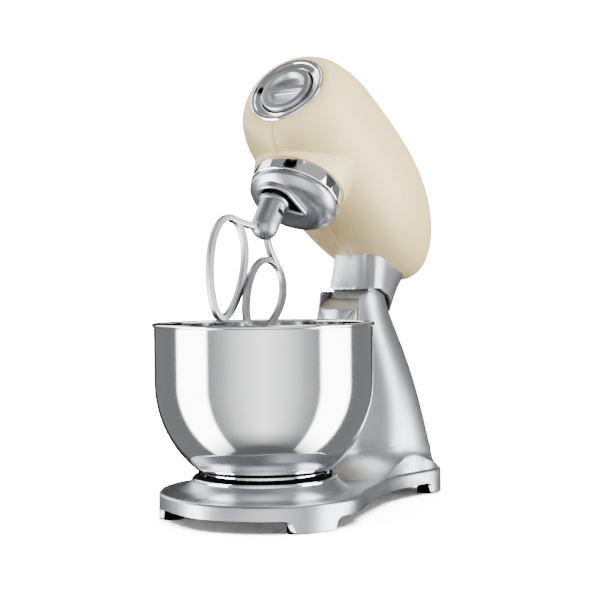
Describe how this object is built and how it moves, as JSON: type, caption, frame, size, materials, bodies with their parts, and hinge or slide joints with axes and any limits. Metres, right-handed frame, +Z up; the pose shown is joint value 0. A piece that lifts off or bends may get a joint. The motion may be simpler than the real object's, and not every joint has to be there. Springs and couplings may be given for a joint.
{
  "type": "stand mixer",
  "caption": "Retro tilt-head stand mixer with rounded painted head, steel bowl on a cast base, flat beater on a planetary drive and a front accessory outlet.",
  "frame": {"origin": "centre of the bounding box on the counter, head raised", "axes": "+X the way the nose points, +Y the mixer's left side, +Z up"},
  "size_m": [0.4218, 0.221, 0.468],
  "materials": {
    "cream_paint": "gloss",
    "silver_paint": "satin metallic paint",
    "chrome": "mirror",
    "bowl_steel": "polished",
    "beater_metal": "burnished",
    "rubber_black": "matte",
    "plastic_black": "matte",
    "machine_steel": "machined",
    "chassis_metal": "as cast",
    "bush_bronze": "machined",
    "lamination": "varnished",
    "board_green": "matte"
  },
  "bodies": {
    "base": {"base_casting": "silver_paint", "base_cover": "plastic_black", "base_cover_screws": "machine_steel", "rubber_feet": "rubber_black", "bowl_seat_ring": "chrome", "seat_screws": "machine_steel", "hinge_pin": "machine_steel", "cord_gland": "rubber_black"},
    "bowl": {"bowl": "bowl_steel", "bowl_foot": "bowl_steel"},
    "release_button": {"release_button": "chrome"},
    "lock_pin": {"lock_pin": "machine_steel"},
    "head": {"head_shell_left": "cream_paint", "head_shell_right": "cream_paint", "neck_collar": "silver_paint", "head_chassis": "chassis_metal", "hinge_bushes": "bush_bronze", "shaft_bearings": "machine_steel", "ring_gear": "machine_steel", "planetary_band": "chrome", "front_trim_ring": "chrome", "outlet_socket": "plastic_black", "motor_stator": "lamination", "motor_end_frames": "chassis_metal", "motor_brushes": "plastic_black", "control_board": "board_green", "lever_trim": "chrome"},
    "speed_lever": {"speed_lever": "chrome"},
    "hub_cover": {"hub_cover": "silver_paint"},
    "planetary": {"planetary_housing": "silver_paint", "centre_shaft": "machine_steel", "crown_gear": "machine_steel", "beater_bush": "bush_bronze"},
    "beater_shaft": {"beater_shaft": "machine_steel", "planet_pinion": "machine_steel", "beater_pin": "machine_steel"},
    "beater": {"flat_beater": "beater_metal"},
    "drive_shaft": {"drive_shaft": "machine_steel", "bevel_pinion": "machine_steel", "drive_gear": "machine_steel"},
    "motor_rotor": {"motor_shaft": "machine_steel", "armature": "lamination", "commutator": "bush_bronze", "cooling_fan": "plastic_black", "motor_pinion": "machine_steel"}
  },
  "joints": [
    {"name": "head_tilt", "type": "hinge", "parent": "base", "child": "head", "pos_m": [-0.06858, 0, 0.1835], "axis": [0, 1, 0], "range_deg": [0, 35.4]},
    {"name": "planetary_spin", "type": "hinge", "parent": "head", "child": "planetary", "pos_m": [0.04224, 0, 0.3193], "axis": [-0.5793, 0, 0.8151], "continuous": true},
    {"name": "beater_spin", "type": "hinge", "parent": "planetary", "child": "beater_shaft", "pos_m": [0.06035, -0.00352, 0.33217], "axis": [-0.5793, 0, 0.8151], "continuous": true},
    {"name": "beater_push", "type": "slide", "parent": "beater_shaft", "child": "beater", "axis": [-0.5793, 0, 0.8151], "range_m": [0, 0.004]},
    {"name": "drive_spin", "type": "hinge", "parent": "head", "child": "drive_shaft", "pos_m": [-0.00549, 0, 0.38647], "axis": [0.8151, 0, 0.5793], "continuous": true},
    {"name": "motor_spin", "type": "hinge", "parent": "head", "child": "motor_rotor", "pos_m": [-0.10149, 0, 0.34892], "axis": [0.8151, 0, 0.5793], "continuous": true},
    {"name": "speed_slide", "type": "slide", "parent": "head", "child": "speed_lever", "axis": [0.8151, 0, 0.5793], "range_m": [0, 0.054]},
    {"name": "cover_pull", "type": "slide", "parent": "head", "child": "hub_cover", "axis": [0.8151, 0, 0.5793], "range_m": [0, 0.03]},
    {"name": "bowl_twist", "type": "hinge", "parent": "base", "child": "bowl", "pos_m": [0.10042, 0, 0.04], "axis": [0, 0, 1], "range_deg": [-35, 0]},
    {"name": "button_press", "type": "slide", "parent": "base", "child": "release_button", "axis": [1, 0, 0], "range_m": [0, 0.004], "stiffness_N_per_m": 800},
    {"name": "lock_slide", "type": "slide", "parent": "base", "child": "lock_pin", "axis": [0, 0, 1], "range_m": [-0.004, 0]}
  ],
  "couplings": [
    {"joint": "beater_spin", "follows": "planetary_spin", "ratio": -3.1429},
    {"joint": "drive_spin", "follows": "planetary_spin", "ratio": -2},
    {"joint": "motor_spin", "follows": "planetary_spin", "ratio": 5.1429},
    {"joint": "lock_slide", "follows": "button_press", "ratio": -1}
  ]
}
